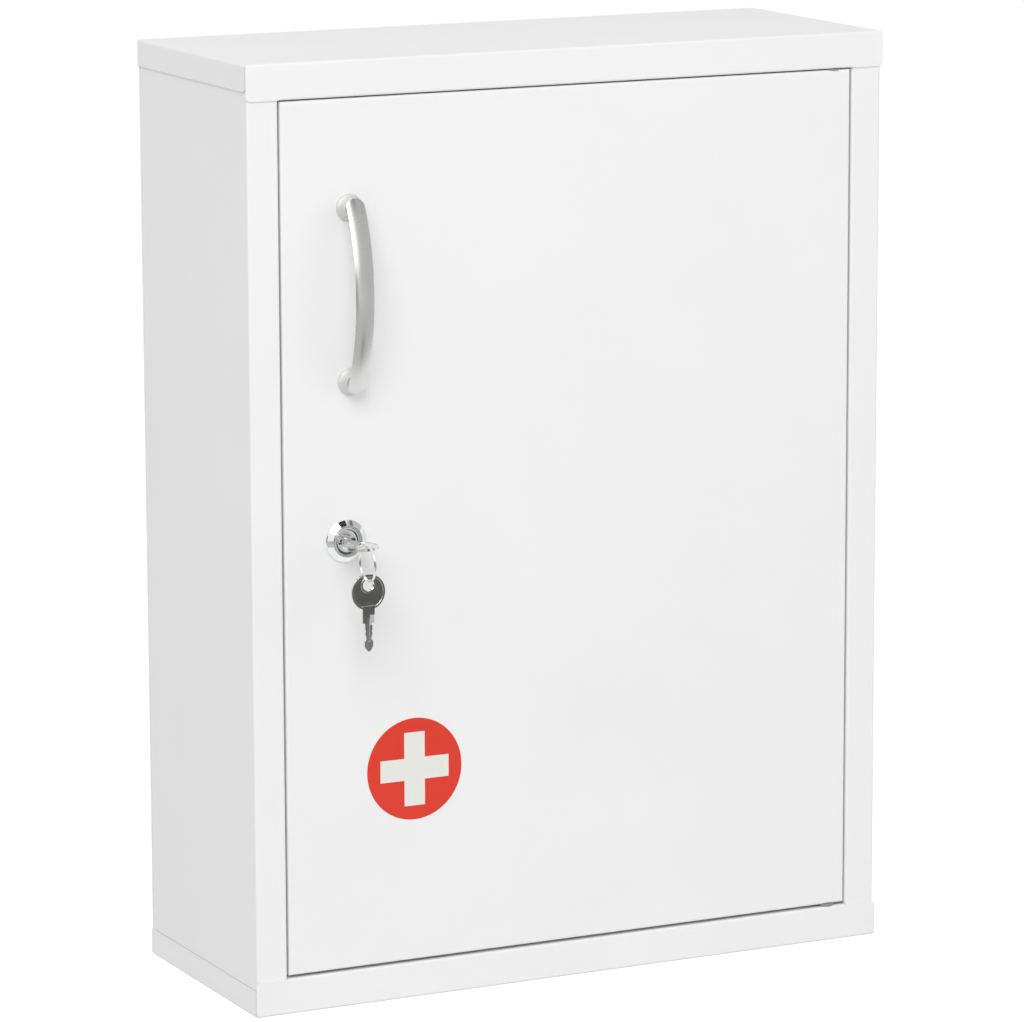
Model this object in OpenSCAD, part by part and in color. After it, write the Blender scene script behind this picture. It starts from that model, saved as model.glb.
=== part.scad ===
/* [Cabinet] */
// Width over the caps
cabinet_w = 394; // [360:1:480]
// Depth from the wall to the front of the caps
cabinet_d = 152; // [130:1:220]
// Height over the caps
cabinet_h = 530; // [490:1:700]
// Thickness of the steel sheet
sheet = 0.8; // [0.6:0.1:1.2]
// Outer radius of every fold
fold_r = 1.4; // [1.3:0.1:2]
// Visible width of the front stiles
stile_w = 18.4; // [14:0.2:26]
// Depth that the stiles and the caps' lips turn inwards
return_d = 18.2; // [17.5:0.1:24]

/* [Caps] */
// Height of the caps' front flange
cap_front_h = 20.2; // [16:0.2:28]
// Height of the caps' side flanges
cap_side_h = 15; // [8:0.5:16]
// Depth of the lip that frames the door opening
cap_lip_d = 22; // [20:0.5:30]
// Height of the stiffening hem at the lip's rear edge
cap_hem_h = 8; // [4:0.5:12]
// Radius of the flanges' free corners
cap_corner_r = 3; // [1.5:0.5:5]
// Width of the open seam between a side flange and the front flange
cap_seam = 0.4; // [0.2:0.1:0.8]

/* [Wall fixings] */
// Distance between the wall-fixing holes across the back
fixing_w = 300; // [200:5:320]
// Distance between the wall-fixing holes up the back
fixing_h = 430; // [300:5:450]
// Radius of the wall-fixing holes
fixing_r = 3.5; // [2.5:0.25:5]
// Width of the back panel's and the sides' joining flanges
join_flange = 12; // [8:1:16]

/* [Shelves] */
// Height of each shelf's top from the middle of the cabinet
shelf_rise = 88; // [70:1:110]
// Distance of the shelves' front edge behind the stiles' face
shelf_setback = 27.2; // [27:0.2:50]
// Height of the shelves' folded edges
shelf_edge_h = 14; // [8:1:25]
// Depth of the hem under the shelves' front edge
shelf_hem = 10; // [6:1:16]

/* [Door] */
// Depth of the door pan
door_d = 16; // [14:0.2:17]
// Gap between the door and the stiles, at each side
side_gap = 1.25; // [1.1:0.05:2]
// Gap over the door
top_gap = 0.8; // [0.5:0.1:1.6]
// Gap under the door
bottom_gap = 1.6; // [0.6:0.1:2]
// Width of the hem round the back of the door
door_hem = 12; // [8:1:16]
// Clear depth between the closed door and its stop flange
stop_gap = 1.5; // [0.8:0.1:2.2]
// Width of the stop flange behind the door
stop_w = 10; // [7:0.5:14]
// Radius of the soft door buffers
buffer_r = 3.5; // [2:0.25:4]
// Distance from the middle of the door to each buffer
buffer_rise = 170; // [120:5:210]
// Width of the door stiffener's crown
stiffener_w = 36; // [24:1:60]
// Depth of the door stiffener
stiffener_d = 12; // [8:0.5:13]
// Width of the stiffener's welded flanges
stiffener_flange = 12; // [8:1:16]

/* [Hinges] */
// Distance from the door's edge to the pivot axis
pivot_inset = 10; // [9:0.25:11]
// Distance from the door's face to the pivot axis
pivot_depth = 4; // [4:0.1:4.5]
// Radius of the hinge pins
pin_r = 2; // [1.5:0.1:2.4]
// Length of a hinge pin inside the door
pin_reach = 9; // [6:0.5:14]
// Radial running clearance of a pin in its bush
pin_play = 0.05; // [0.02:0.01:0.1]
// Wall of the nylon bushes
bush_wall = 1; // [0.8:0.1:1.2]
// Free height between a bush and the lip it faces
bush_play = 0.2; // [0.1:0.05:0.3]

/* [Handle] */
// Distance between the handle's screws
handle_pitch = 96; // [64:1:160]
// Distance from the door's lock edge to the handle's axis
handle_inset = 40; // [25:0.5:70]
// Distance from the door's top edge to the handle's middle
handle_drop = 107.6; // [90:0.2:140]
// Width of the handle's bar
handle_w = 12; // [8:0.5:16]
// Thickness of the handle's bar
handle_t = 3.5; // [3:0.25:5]
// Height of the bar's face over the door at its ends
handle_end_h = 8.5; // [7.5:0.25:14]
// Height of the bar's face over the door at its middle
handle_mid_h = 22; // [18:0.5:34]
// Radius of the handle's round feet
foot_r = 7.5; // [6:0.25:10]
// Radius of the handle's screws
screw_r = 2; // [1.5:0.25:2.5]

/* [Lock] */
// Distance from the door's lock edge to the lock's axis
lock_inset = 36.5; // [30:0.5:60]
// Radius of the conical bezel
bezel_r = 12; // [11:0.25:15]
// Height of the bezel over the door
bezel_h = 3.2; // [2.4:0.1:5]
// Radius of the barrel
barrel_r = 9.3; // [9:0.05:9.5]
// Width over the barrel's flats
barrel_flats = 16; // [15.5:0.1:17]
// Length of the barrel behind the door's face
barrel_l = 20; // [19.9:0.1:20.6]
// Radius of the keyed plug
plug_r = 7; // [6.6:0.05:7.2]
// Radial running clearance of the plug
plug_play = 0.05; // [0.02:0.01:0.1]
// Distance that the cam reaches past the stop flange's edge
cam_catch = 6.5; // [4:0.5:8]
// Thickness of the cam
cam_t = 2; // [1.5:0.1:2.5]

/* [Keys] */
// Radius of a key's bow
bow_r = 10; // [9:0.25:12]
// Thickness of a key
key_t = 1.8; // [1.4:0.1:2]
// Widest width of a key's blade
blade_w = 5.2; // [4.6:0.1:5.6]
// Length of a key's blade
blade_l = 15.7; // [14.5:0.1:16]
// Width of a key's neck
neck_w = 7.3; // [6.4:0.1:9]
// Radius of the hole in a key's bow
bow_hole_r = 2.8; // [2.6:0.05:3]
// Clearance round a blade in the keyway
keyway_play = 0.15; // [0.1:0.05:0.25]
// Radius of the key ring at the middle of its wire
ring_r = 9.9; // [9.7:0.05:10.4]
// Width of the key ring's coils, seen from the front
ring_w = 1.2; // [1:0.1:1.3]
// Thickness of both of the key ring's coils together
ring_t = 1.3; // [1.1:0.1:1.4]

/* [Hidden] */

$fn = 48;
// Steps in a fold, and in a round outline that a polygon draws
fold_steps = 5;
// How far a cutting shape runs past the surface it cuts
over = 1;
// Clearance of a sheet edge beside another sheet, and of a screw in its hole
edge_gap = 0.3;
// Clearance of the lock's barrel in its hole
hole_play = 0.1;

// Half sizes of the caps, and of the body that they lap over
half_w = cabinet_w / 2;
half_h = cabinet_h / 2;
body_x = half_w - sheet;
body_z = half_h - fold_r;
// Planes of the stiles' face and of the two sheets at the back
face_y = sheet - cabinet_d;
join_y = -sheet;
// Door opening
open_x = body_x - stile_w;
open_z = half_h - cap_front_h;

// Door edges and middle
door_left = side_gap - open_x;
door_right = open_x - side_gap;
door_top = open_z - top_gap;
door_bottom = bottom_gap - open_z;
door_h = door_top - door_bottom;
door_mid_z = (door_top + door_bottom) / 2;
door_back_y = face_y + door_d;
stop_y = door_back_y + stop_gap;
stop_edge_x = stop_w - open_x - sheet;
buffer_taper = 0.8;

// Pivot axis
pivot_x = door_right - pivot_inset;
pivot_y = face_y + pivot_depth;
pin_head_r = 2 * pin_r;
pin_head_h = 1.5;
pin_chamfer = 0.5;
bush_r = pin_r + pin_play + bush_wall;
bush_flange_w = 1.6;
bush_flange_r = bush_r + bush_flange_w;
pin_past_bush = 1;

// Shelves
shelf_front_y = face_y + shelf_setback;
shelf_back_y = -2 * sheet;

// Handle, whose bar is a slice of a ring
handle_x = door_left + handle_inset;
handle_z = door_top - handle_drop;
handle_half = (handle_pitch + handle_w) / 2;
handle_bow_h = handle_mid_h - handle_end_h;
handle_arc_r = (handle_half * handle_half + handle_bow_h * handle_bow_h) / (2 * handle_bow_h);
handle_crown_r = 1.3 * handle_w;
handle_end_steps = 12;
handle_arc_steps = 180;
handle_arc_spare = 2;
foot_shoulder_h = 1.4;
foot_neck_r = handle_w / 2 - 0.8;
// Screws, and the washers under the handle's
screw_play = 0.05;
screw_cover = 2.5;
screw_bite = handle_end_h - screw_cover;
screw_end_gap = 0.5;
screw_head_r = 3.8;
screw_head_h = 2.4;
screw_head_taper = 0.75;
screw_slot_w = 0.8;
washer_r = 5;
washer_t = 0.8;

// Lock, along its own axis, which points out of the door
lock_x = door_left + lock_inset;
bezel_rim_h = 0.8;
bezel_bevel = 0.4;
bezel_land_drop = 0.3;
bezel_face_r = 8.8;
bezel_groove_r = 8.4;
bezel_land_r = 8;
bezel_groove_d = 0.9;
plug_head_r = 7.6;
plug_head_h = 1;
plug_sink = 1;
plug_face = bezel_h - plug_sink;
dish_r = 5.6;
dish_d = 0.5;
wafer_channel_r = 8.2;
tail_w = 7;
tail_play = 0.05;
cam_l = lock_x - stop_edge_x + cam_catch;
cam_hub_r = 9;
cam_w = 13;
cam_chamfer = 3;
cam_screw_r = 1.6;
cam_screw_l = 6;
cam_washer_r = 6;
cam_washer_t = 1;
cam_screw_head_r = 3.6;
cam_screw_head_h = 2.4;
lock_nut_w = 22;
lock_nut_t = 3.5;
lock_washer_r = 12.5;
lock_washer_t = 0.8;
lock_washer_teeth = 12;
lock_washer_slot = [2, 1];
lock_washer_slot_d = 1.4;

// Keys, along the lock's axis from the neck's shoulder
shoulder_gap = 0.5;
shoulder_z = plug_face + shoulder_gap;
blade_tip_z = shoulder_z - blade_l;
bow_z = 2 * bow_r;
bow_top_z = bow_z + bow_r;
bow_hole_drop = 6.1;
bow_hole_z = bow_top_z - bow_hole_drop;
bow_hole_chamfer = 0.6;
bow_rim = 1.1;
bow_recess = 0.25;
bow_boss_w = 1.6;
bow_boss_r = bow_hole_r + bow_boss_w;
neck_overlap = 2.4;
neck_top_z = bow_z - bow_r + neck_overlap;
// Ground step beside the shoulder: its width, its height, and its depth at its inner and outer side
neck_step_w = 2.8;
neck_step_h = 4.6;
neck_step_d = [0.15, 0.7];
blade_groove_w = 1.2;
blade_groove_d = 0.45;
blade_groove_end = 5.4;
blade_groove_past = 2.6;
// Half width of the blade's root, as a share of its widest half width
blade_root = 0.86;
// The blade's tip, as [distance from its end, share of the widest half width]
blade_tip = [[6.8, 0.6], [5.4, 1], [3, 1], [1.6, 0.75], [0.5, 0.4], [0, 0.2]];
// Half widths of the blade at each wafer, as shares of its widest half width
bitting = [0.84, 0.74, 0.82, 0.7, 0.6];
wafer_pitch = 1.3;
wafer_start = 3.2;
wafer_first_z = shoulder_z - wafer_start;
wafer_t = 0.7;
wafer_w = 5.2;
wafer_play = 0.1;
keyway_x = blade_w / 2 + keyway_play;
keyway_y = key_t / 2 + keyway_play;
keyway_end_z = blade_tip_z - over;

// Key ring, whose top bears on the web between the bow's hole and its rim
ring_drop = 1.2;
ring_z = bow_top_z - ring_drop;
ring_inner_r = ring_r - ring_w / 2;
ring_web = ring_z - bow_hole_z - bow_hole_r - bow_hole_chamfer;
ring_rest = 0.3;
ring_y = key_t / 2 + ring_rest - sqrt(ring_inner_r * ring_inner_r - ring_web * ring_web);
ring_chamfer = 0.35;
ring_reach = norm([ring_t / 2, ring_w / 2 - ring_chamfer]);
spare_hole_y = ring_y - ring_r - (bow_hole_r - ring_reach - ring_rest);
ring_slit = 0.4;
ring_groove = 0.25;
// Turns from the ring's rear at which the two coils are cut
ring_cuts = [70, 130];

// A box between its lowest and its highest corner
module span(low, high) {
    translate(low) cube(high - low);
}

// What it holds, on the left and mirrored to the right
module both_sides() {
    children();
    mirror([1, 0, 0]) children();
}

// The lock's own axes: x to the right, y up, z out of the door
module at_lock() {
    translate([lock_x, face_y, 0]) rotate([90, 0, 0]) children();
}

// The handle's own axes, from the door's face
module at_handle(z) {
    translate([handle_x, face_y, handle_z + z]) rotate([90, 0, 0]) children();
}

function unit(v) = v / norm(v);
function left_of(v) = [-v[1], v[0]];
function reversed(list) = [for (i = [len(list) - 1 : -1 : 0]) list[i]];

// One face of a folded sheet: side is 1 for the face on the left of the path, -1 for the right
function fold_face(path, t, side) = [
    for (i = [0 : len(path) - 1])
        let (
            before = i > 0 ? unit(path[i] - path[i - 1]) : unit(path[1] - path[0]),
            after = i < len(path) - 1 ? unit(path[i + 1] - path[i]) : before,
            turn = sign(before[0] * after[1] - before[1] * after[0]),
            r = fold_r - t / 2,
            centre = path[i] - r * before + turn * r * left_of(before))
        each turn == 0
            ? [path[i] + side * t / 2 * left_of(before)]
            : [for (k = [0 : fold_steps])
                let (a = 90 * k / fold_steps)
                centre + (r - turn * side * t / 2)
                    * (sin(a) * before - turn * cos(a) * left_of(before))]
];

// The outline of a sheet folded at right angles along the path of its middle
module folded(path, t = sheet) {
    polygon(concat(fold_face(path, t, 1), reversed(fold_face(path, t, -1))));
}

// A rectangle between two corners, with the corners in rounded, from the lower left and
// anticlockwise, rounded at radius r
module round_rect(low, high, r, rounded = [1, 1, 1, 1], steps = fold_steps) {
    corner = [low, [high[0], low[1]], high, [low[0], high[1]]];
    inward = [[1, 1], [-1, 1], [-1, -1], [1, -1]];
    polygon([
        for (i = [0 : 3])
            each rounded[i] == 0
                ? [corner[i]]
                : [for (k = [0 : steps])
                    let (a = 180 + 90 * i + 90 * k / steps)
                    corner[i] + r * inward[i] + r * [cos(a), sin(a)]]
    ]);
}

// A screw head with a crossed slot, its underside at z = 0 and its top below
module screw_head(r, h) {
    difference() {
        translate([0, 0, -h]) cylinder(r1 = screw_head_taper * r, r2 = r, h = h);
        for (turn = [0, 90]) rotate([0, 0, turn])
            translate([-r / 2, -screw_slot_w / 2, -h - over]) cube([r, screw_slot_w, over + h / 2]);
    }
}

// A block whose folds run both ways: plan is its outline from above, profile its outline from
// the right, each a list of its low corner, its high corner and its rounded corners
module two_way(plan, plan_z, profile, profile_x, r) {
    intersection() {
        translate([0, 0, plan_z[0]])
            linear_extrude(plan_z[1] - plan_z[0]) round_rect(plan[0], plan[1], r, plan[2]);
        translate([profile_x[0], 0, 0]) rotate([90, 0, 90])
            linear_extrude(profile_x[1] - profile_x[0]) round_rect(profile[0], profile[1], r, profile[2]);
    }
}

// ---- Carcass ----

// The folded outline of the left side, from its front inner edge round to the rear flange
module side_outline(with_stop) {
    mid = sheet / 2;
    front = face_y + mid;
    outer = mid - body_x;
    inner = -open_x - mid;
    rear = join_y - mid;
    stop = [[stop_edge_x, stop_y + mid], [inner, stop_y + mid]];
    plain = [[inner, face_y + return_d]];
    folded(concat(with_stop ? stop : plain,
        [[inner, front], [outer, front], [outer, rear], [join_flange - body_x, rear]]));
}

module side_body(with_stop) {
    difference() {
        translate([0, 0, -body_z]) linear_extrude(2 * body_z) side_outline(with_stop);
        if (with_stop)
            for (end = [-1, 1]) mirror([0, 0, end < 0 ? 1 : 0])
                span([-open_x + edge_gap, stop_y - over, open_z - over],
                    [stop_w - open_x + over, stop_y + sheet + over, body_z + over]);
    }
}

module left_side_panel() {
    color("white") side_body(true);
}

module right_side_panel() {
    color("white") mirror([1, 0, 0]) side_body(false);
}

module back_panel() {
    mid = sheet / 2;
    flange_x = body_x - join_flange - over;
    edge_z = half_h - sheet - mid;
    color("white") difference() {
        union() {
            span([-body_x, join_y, -body_z], [body_x, 0, body_z]);
            for (side = [-1, 1])
                span([side > 0 ? flange_x : fold_r - half_w, join_y, sheet - half_h],
                    [side > 0 ? half_w - fold_r : -flange_x, 0, half_h - sheet]);
            translate([-flange_x, 0, 0]) rotate([90, 0, 90]) linear_extrude(2 * flange_x)
                folded([[-join_flange, edge_z], [-mid, edge_z], [-mid, -edge_z], [-join_flange, -edge_z]]);
        }
        for (x = [-1, 1], z = [-1, 1])
            translate([x * fixing_w / 2, over, z * fixing_h / 2]) rotate([90, 0, 0])
                cylinder(r = fixing_r, h = sheet + 2 * over);
    }
}

// A notch that rounds the free corner of a flange, seen along its own axis
module corner_cut(r) {
    difference() {
        translate([-over, -over]) square(r + over);
        translate([r, r]) circle(r);
    }
}

// The solid block of a cap down to its flanges' edge, in by inset from its outer faces
module cap_block(inset, bottom_z) {
    r = fold_r - inset;
    x = half_w - inset;
    y = inset - cabinet_d;
    z = half_h - inset;
    intersection() {
        translate([0, over, 0]) rotate([90, 0, 0]) linear_extrude(cabinet_d + 2 * over)
            round_rect([-x, bottom_z], [x, z], r, [0, 0, 1, 1]);
        translate([-half_w - over, 0, 0]) rotate([90, 0, 90]) linear_extrude(cabinet_w + 2 * over)
            round_rect([y, bottom_z], [inset, z], r, [0, 0, 0, 1]);
    }
}

module cap() {
    mid = sheet / 2;
    lip_x = open_x - edge_gap;
    difference() {
        union() {
            difference() {
                intersection() {
                    cap_block(0, open_z);
                    span([-half_w, -cabinet_d, open_z], [half_w, 0, half_h]);
                }
                cap_block(sheet, open_z - over);
                // Where the lip's fold takes the place of the front flange's edge
                span([-lip_x, -cabinet_d - over, open_z - over], [lip_x, face_y, open_z + fold_r]);
            }
            translate([-lip_x, 0, 0]) rotate([90, 0, 90]) linear_extrude(2 * lip_x)
                folded([[mid - cabinet_d, open_z + cap_front_h / 2], [mid - cabinet_d, open_z + mid],
                    [cap_lip_d - cabinet_d - mid, open_z + mid],
                    [cap_lip_d - cabinet_d - mid, open_z + cap_hem_h]]);
        }
        // Side flanges stop short of the front flange's depth
        for (side = [-1, 1]) {
            x = side * (half_w - sheet / 2);
            span([x - sheet, face_y, open_z - over], [x + sheet, over, half_h - cap_side_h]);
            span([x - sheet, face_y, open_z - over], [x + sheet, face_y + cap_seam, half_h - fold_r]);
            translate([x - sheet, face_y + cap_seam, half_h - cap_side_h]) rotate([90, 0, 90])
                linear_extrude(2 * sheet) corner_cut(cap_corner_r);
        }
        both_sides() translate([-half_w, face_y + over, open_z]) rotate([90, 0, 0])
            linear_extrude(sheet + 2 * over) corner_cut(cap_corner_r);
        translate([pivot_x, pivot_y, open_z - over]) cylinder(r = pin_r, h = sheet + 2 * over);
    }
}

module top_cap() {
    color("white") cap();
}

module bottom_cap() {
    color("white") mirror([0, 0, 1]) cap();
}

// A tray with all its edges folded down and a hem under the front one
module shelf(top_z) {
    low_z = top_z - shelf_edge_h;
    x = body_x - sheet;
    color("white") difference() {
        intersection() {
            two_way([[-x, shelf_front_y], [x, shelf_back_y], [0, 0, 1, 1]], [low_z, top_z],
                [[shelf_front_y, low_z], [shelf_back_y, top_z], [1, 0, 1, 1]], [-x, x], fold_r);
            translate([0, over, 0]) rotate([90, 0, 0]) linear_extrude(cabinet_d + over)
                round_rect([-x, low_z], [x, top_z], fold_r, [0, 0, 1, 1]);
        }
        intersection() {
            translate([0, shelf_back_y - sheet, 0]) rotate([90, 0, 0])
                linear_extrude(shelf_back_y - shelf_front_y - 2 * sheet)
                round_rect([sheet - x, low_z + sheet], [x - sheet, top_z - sheet],
                    fold_r - sheet, [0, 0, 1, 1]);
            translate([-x, 0, 0]) rotate([90, 0, 90]) linear_extrude(2 * x)
                round_rect([shelf_front_y + sheet, low_z + sheet],
                    [shelf_back_y - sheet, top_z - sheet], fold_r - sheet);
        }
        span([sheet - x, shelf_front_y + shelf_hem, low_z - over],
            [x - sheet, shelf_back_y - sheet, low_z + fold_r]);
    }
}

module upper_shelf() {
    shelf(shelf_rise);
}

module lower_shelf() {
    shelf(-shelf_rise);
}

// A headed pin through the lip, pointing into the door over a gap of the given height
module hinge_pin(gap) {
    tip_z = open_z - gap - pin_reach;
    seat_z = open_z + sheet;
    color("silver") translate([pivot_x, pivot_y, 0]) rotate_extrude() polygon([
        [0, tip_z], [pin_r - pin_chamfer, tip_z], [pin_r, tip_z + pin_chamfer], [pin_r, seat_z],
        [pin_head_r, seat_z], [pin_head_r, seat_z + pin_head_h], [0, seat_z + pin_head_h]]);
}

module upper_hinge_pin() {
    hinge_pin(top_gap);
}

module lower_hinge_pin() {
    mirror([0, 0, 1]) hinge_pin(bottom_gap);
}

module door_buffers() {
    buffer_h = stop_gap - edge_gap;
    color("gainsboro") for (z = [-1, 1])
        translate([(stop_w - sheet) / 2 - open_x, stop_y, z * buffer_rise]) rotate([90, 0, 0])
            cylinder(r1 = buffer_r, r2 = buffer_taper * buffer_r, h = buffer_h);
}

// ---- Door ----

// The solid block of the door pan, in by inset from its outer faces
module door_block(inset) {
    r = fold_r - inset;
    low = [door_left + inset, face_y + inset];
    high = [door_right - inset, door_back_y - inset];
    z = [door_bottom + inset, door_top - inset];
    two_way([low, high, [1, 1, 1, 1]], z,
        [[low[1], z[0]], [high[1], z[1]], [1, 1, 1, 1]], [low[0], high[0]], r);
}

module door_panel() {
    color("white") difference() {
        door_block(0);
        door_block(sheet);
        // Opening inside the hem
        span([door_left + door_hem, door_back_y - fold_r, door_bottom + door_hem],
            [door_right - door_hem, door_back_y + over, door_top - door_hem]);
        // Hole with two flats for the lock
        at_lock() translate([0, 0, -sheet - over]) intersection() {
            cylinder(r = barrel_r + hole_play, h = sheet + 2 * over);
            translate([-bezel_r, -barrel_flats / 2 - hole_play, 0])
                cube([2 * bezel_r, barrel_flats + 2 * hole_play, sheet + 2 * over]);
        }
        for (end = [-1, 1]) at_handle(end * handle_pitch / 2)
            translate([0, 0, -sheet - over]) cylinder(r = screw_r + edge_gap, h = sheet + 2 * over);
        translate([pivot_x, pivot_y, door_top - sheet - over]) cylinder(r = bush_r, h = sheet + 2 * over);
        translate([pivot_x, pivot_y, door_bottom - over]) cylinder(r = bush_r, h = sheet + 2 * over);
    }
}

module door_stiffener() {
    root_y = face_y + 1.5 * sheet;
    crown_y = root_y + stiffener_d - sheet;
    x = stiffener_w / 2;
    inside_h = door_h - 2 * (door_hem + over);
    color("white") translate([0, 0, door_mid_z - inside_h / 2]) linear_extrude(inside_h)
        folded([[-x - stiffener_flange, root_y], [-x, root_y], [-x, crown_y],
            [x, crown_y], [x, root_y], [x + stiffener_flange, root_y]]);
}

// A flanged bush in the door's top edge, under a gap of the given height
module hinge_bush(gap, edge_z) {
    flange_h = gap - bush_play;
    body_h = pin_reach - pin_past_bush;
    color("ivory") translate([pivot_x, pivot_y, edge_z]) difference() {
        union() {
            cylinder(r = bush_flange_r, h = flange_h);
            translate([0, 0, -body_h]) cylinder(r = bush_r, h = body_h + flange_h / 2);
        }
        translate([0, 0, -body_h - over])
            cylinder(r = pin_r + pin_play, h = body_h + flange_h + 2 * over);
    }
}

module upper_hinge_bush() {
    hinge_bush(top_gap, door_top);
}

module lower_hinge_bush() {
    mirror([0, 0, 1]) hinge_bush(bottom_gap, -door_bottom);
}

// A round foot that flares to the door, with its screw hole
module handle_foot() {
    top = handle_end_h - handle_t / 2;
    rotate_extrude() polygon(concat(
        [[0, 0], [foot_r, 0], [foot_r, foot_shoulder_h]],
        [for (k = [1 : handle_end_steps])
            let (a = 90 * k / handle_end_steps, rise = top - foot_shoulder_h)
            [foot_r - (foot_r - foot_neck_r) * sin(a), foot_shoulder_h + rise * (1 - cos(a))]],
        [[0, top]]));
}

// The bar's section, wider than the bar: flat at the back, crowned in front, its outside at radius r
module bar_section(r) {
    intersection() {
        translate([r - handle_t, -handle_w]) square([handle_t, 2 * handle_w]);
        translate([r - handle_crown_r, 0]) circle(handle_crown_r);
    }
}

module handle_bar() {
    sweep = 2 * (asin(handle_half / handle_arc_r) + handle_arc_spare);
    translate([0, 0, handle_mid_h - handle_arc_r]) rotate([0, 90, 0]) rotate([0, 0, 180 - sweep / 2])
        rotate_extrude(angle = sweep, $fn = handle_arc_steps) bar_section(handle_arc_r);
}

module handle_bow() {
    color("silver") at_handle(0) difference() {
        union() {
            intersection() {
                handle_bar();
                linear_extrude(handle_mid_h + over)
                    round_rect([-handle_w / 2, -handle_half], [handle_w / 2, handle_half],
                        handle_w / 2, steps = handle_end_steps);
            }
            for (end = [-1, 1]) translate([0, end * handle_pitch / 2, 0]) handle_foot();
        }
        for (end = [-1, 1]) translate([0, end * handle_pitch / 2, -over])
            cylinder(r = screw_r, h = screw_bite + over);
    }
}

module handle_screws() {
    under_head = -sheet - washer_t;
    color("silver") for (end = [-1, 1]) at_handle(end * handle_pitch / 2) {
        translate([0, 0, under_head]) screw_head(screw_head_r, screw_head_h);
        translate([0, 0, under_head])
            cylinder(r = screw_r - screw_play, h = screw_bite - screw_end_gap - under_head);
    }
}

module handle_washers() {
    color("silver") for (end = [-1, 1]) at_handle(end * handle_pitch / 2) difference() {
        translate([0, 0, -sheet - washer_t]) cylinder(r = washer_r, h = washer_t);
        translate([0, 0, -sheet - washer_t - over])
            cylinder(r = screw_r + edge_gap, h = washer_t + 2 * over);
    }
}

// ---- Lock ----

module lock_housing() {
    color("lightgray") at_lock() difference() {
        union() {
            rotate_extrude() polygon([[0, 0], [bezel_r, 0], [bezel_r, bezel_rim_h],
                [bezel_r - bezel_bevel, bezel_rim_h + bezel_bevel],
                [bezel_face_r, bezel_h], [bezel_groove_r, bezel_h],
                [bezel_groove_r, bezel_h - bezel_groove_d], [bezel_land_r, bezel_h - bezel_groove_d],
                [bezel_land_r, bezel_h - bezel_land_drop],
                [0, bezel_h - bezel_land_drop]]);
            intersection() {
                translate([0, 0, -barrel_l]) cylinder(r = barrel_r, h = barrel_l + bezel_rim_h);
                translate([-barrel_r - over, -barrel_flats / 2, -barrel_l])
                    cube([2 * (barrel_r + over), barrel_flats, barrel_l + bezel_rim_h]);
            }
        }
        translate([0, 0, -barrel_l - over])
            cylinder(r = plug_r + plug_play, h = barrel_l + bezel_h + 2 * over);
        translate([0, 0, plug_face - plug_head_h])
            cylinder(r = plug_head_r + plug_play, h = bezel_h);
        // Channels for the wafers
        intersection() {
            translate([0, 0, -barrel_l - over]) cylinder(r = wafer_channel_r, h = barrel_l - over);
            translate([-barrel_r, -wafer_w / 2 - wafer_play, -barrel_l - over])
                cube([2 * barrel_r, wafer_w + 2 * wafer_play, barrel_l - over]);
        }
    }
}

module lock_washer() {
    color("silver") at_lock() translate([0, 0, -sheet - lock_washer_t]) difference() {
        cylinder(r = lock_washer_r, h = lock_washer_t);
        translate([0, 0, -over]) cylinder(r = barrel_r + hole_play, h = lock_washer_t + 2 * over);
        for (i = [0 : lock_washer_teeth - 1]) rotate([0, 0, 360 * i / lock_washer_teeth])
            translate([lock_washer_r - lock_washer_slot_d, -lock_washer_slot[1] / 2, -over])
                cube([lock_washer_slot[0], lock_washer_slot[1], lock_washer_t + 2 * over]);
    }
}

module lock_nut() {
    color("silver") at_lock() translate([0, 0, -sheet - lock_washer_t - lock_nut_t]) difference() {
        cylinder(r = lock_nut_w / 2 / cos(30), h = lock_nut_t, $fn = 6);
        translate([0, 0, -over]) cylinder(r = barrel_r + screw_play, h = lock_nut_t + 2 * over);
    }
}

module lock_plug() {
    color("lightgray") at_lock() difference() {
        union() {
            translate([0, 0, -barrel_l]) cylinder(r = plug_r, h = barrel_l + plug_face);
            translate([0, 0, plug_face - plug_head_h]) cylinder(r = plug_head_r, h = plug_head_h);
            translate([-tail_w / 2, -tail_w / 2, -barrel_l - cam_t]) cube([tail_w, tail_w, cam_t + over]);
        }
        // Dished face
        translate([0, 0, plug_face - dish_d])
            cylinder(r1 = dish_r - dish_d, r2 = dish_r + dish_d, h = 2 * dish_d);
        translate([-keyway_x, -keyway_y, keyway_end_z])
            cube([2 * keyway_x, 2 * keyway_y, plug_face - keyway_end_z + over]);
        for (i = [0 : len(bitting) - 1])
            translate([-plug_r - over, -wafer_w / 2 - wafer_play,
                wafer_first_z - i * wafer_pitch - wafer_t / 2 - wafer_play / 2])
                cube([2 * (plug_r + over), wafer_w + 2 * wafer_play, wafer_t + wafer_play]);
        translate([0, 0, -barrel_l - cam_t - over]) cylinder(r = cam_screw_r, h = cam_screw_l + over);
    }
}

module lock_wafers() {
    color("gold") at_lock() for (i = [0 : len(bitting) - 1])
        translate([0, 0, wafer_first_z - i * wafer_pitch - wafer_t / 2 - wafer_play / 2])
            linear_extrude(wafer_t) difference() {
                intersection() {
                    circle(plug_r - wafer_play);
                    square([2 * plug_r, wafer_w], center = true);
                }
                square([2 * keyway_x, 2 * keyway_y], center = true);
            }
}

// A straight cam that hangs down while the door is unlocked
module lock_cam() {
    color("silver") at_lock() translate([0, 0, -barrel_l - cam_t]) linear_extrude(cam_t) difference() {
        union() {
            circle(cam_hub_r);
            polygon([[-cam_w / 2, 0], [-cam_w / 2, cam_chamfer - cam_l],
                [cam_chamfer - cam_w / 2, -cam_l], [cam_w / 2 - cam_chamfer, -cam_l],
                [cam_w / 2, cam_chamfer - cam_l], [cam_w / 2, 0]]);
        }
        square(tail_w + 2 * tail_play, center = true);
    }
}

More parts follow.
